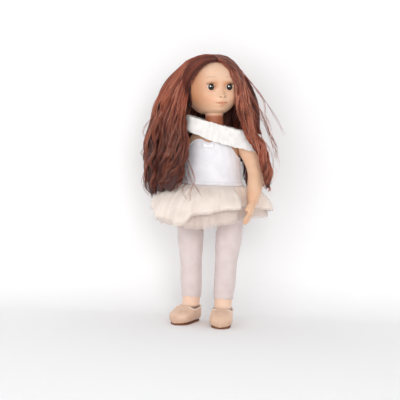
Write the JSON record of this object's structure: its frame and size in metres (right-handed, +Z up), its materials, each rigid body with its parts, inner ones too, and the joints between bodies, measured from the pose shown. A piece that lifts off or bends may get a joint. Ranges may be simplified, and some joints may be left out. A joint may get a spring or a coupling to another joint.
{
  "type": "play doll",
  "caption": "Standing jointed play doll with long wavy hair, ruffled collar, leotard, net skirt, tights and slippers; head, arms, legs and weighted eyes move.",
  "frame": {"origin": "on the floor, midway between the feet, at the bottom centre of the bounding box", "axes": "+Z up along the standing doll, -Y the way its chest faces, +X its left"},
  "size_m": [0.2296, 0.1844, 0.4534],
  "materials": {
    "vinyl_skin": "satin soft vinyl",
    "eyelid": "satin",
    "body_cloth": "woven cotton",
    "filling": "loose fibre",
    "hard_plastic": "moulded",
    "tights": "fine knit",
    "slipper": "satin cloth",
    "sole": "suede",
    "white_cloth": "smooth knit",
    "net": "soft net",
    "ruffle": "gathered cotton",
    "eye_white": "gloss",
    "iris": "clear gloss over dark print",
    "steel": "plain wire",
    "hair": "shiny rooted fibre"
  },
  "bodies": {
    "torso": {"torso_cloth": "body_cloth", "torso_filling": "filling", "hip_block": "hard_plastic", "shoulder_plate": "vinyl_skin", "plate_tie": "hard_plastic", "tights_waist": "tights", "leotard": "white_cloth", "back_fastener": "white_cloth", "neckline_bow": "white_cloth", "skirt_band": "net", "skirt_outer_layer": "net", "skirt_inner_layer": "net", "collar_ruffle": "ruffle"},
    "head": {"head_shell": "vinyl_skin", "eye_bracket": "hard_plastic", "hair_cap": "hair", "hair_right_side": "hair", "hair_right_front": "hair", "hair_right_back": "hair", "hair_back": "hair", "hair_left_back": "hair", "hair_left_side": "hair", "hair_left_wisp": "hair"},
    "eyes": {"eye_rocker": "steel", "eye_weight": "steel", "eyeball_left": "eye_white", "eyeball_right": "eye_white", "eye_lens_left": "iris", "eye_lens_right": "iris", "eyelid_left": "eyelid", "eyelid_right": "eyelid"},
    "arm_left": {"arm_left": "vinyl_skin"},
    "arm_right": {"arm_right": "vinyl_skin"},
    "leg_left": {"leg_left": "vinyl_skin", "tights_leg_left": "tights", "slipper_left": "slipper", "slipper_sole_left": "sole"},
    "leg_right": {"leg_right": "vinyl_skin", "tights_leg_right": "tights", "slipper_right": "slipper", "slipper_sole_right": "sole"}
  },
  "joints": [
    {"name": "head_turn", "type": "hinge", "parent": "torso", "child": "head", "pos_m": [0, 0, 0.3315], "axis": [0, 0, 1], "range_deg": [-108, 42], "deforming": ["hair_right_side", "hair_right_front", "hair_right_back", "hair_back", "hair_left_back", "hair_left_side", "hair_left_wisp"]},
    {"name": "eyes_close", "type": "hinge", "parent": "head", "child": "eyes", "pos_m": [0.01137, -0.02191, 0.39544], "axis": [0.8377, 0.544, 0.0488], "range_deg": [0, 65]},
    {"name": "shoulder_left", "type": "hinge", "parent": "torso", "child": "arm_left", "pos_m": [0.0445, 0, 0.3], "axis": [-1, 0, 0], "range_deg": [-60, 170], "deforming": ["collar_ruffle", "skirt_outer_layer", "skirt_inner_layer"]},
    {"name": "shoulder_right", "type": "hinge", "parent": "torso", "child": "arm_right", "pos_m": [-0.0445, 0, 0.3], "axis": [-1, 0, 0], "range_deg": [-35, 195], "deforming": ["skirt_outer_layer", "skirt_inner_layer"]},
    {"name": "hip_left", "type": "hinge", "parent": "torso", "child": "leg_left", "pos_m": [0.0144, 0, 0.196], "axis": [-1, 0, 0], "range_deg": [-30, 90], "deforming": ["skirt_outer_layer", "skirt_inner_layer"]},
    {"name": "hip_right", "type": "hinge", "parent": "torso", "child": "leg_right", "pos_m": [-0.0144, 0, 0.196], "axis": [-1, 0, 0], "range_deg": [-30, 90], "deforming": ["skirt_outer_layer", "skirt_inner_layer"]}
  ]
}
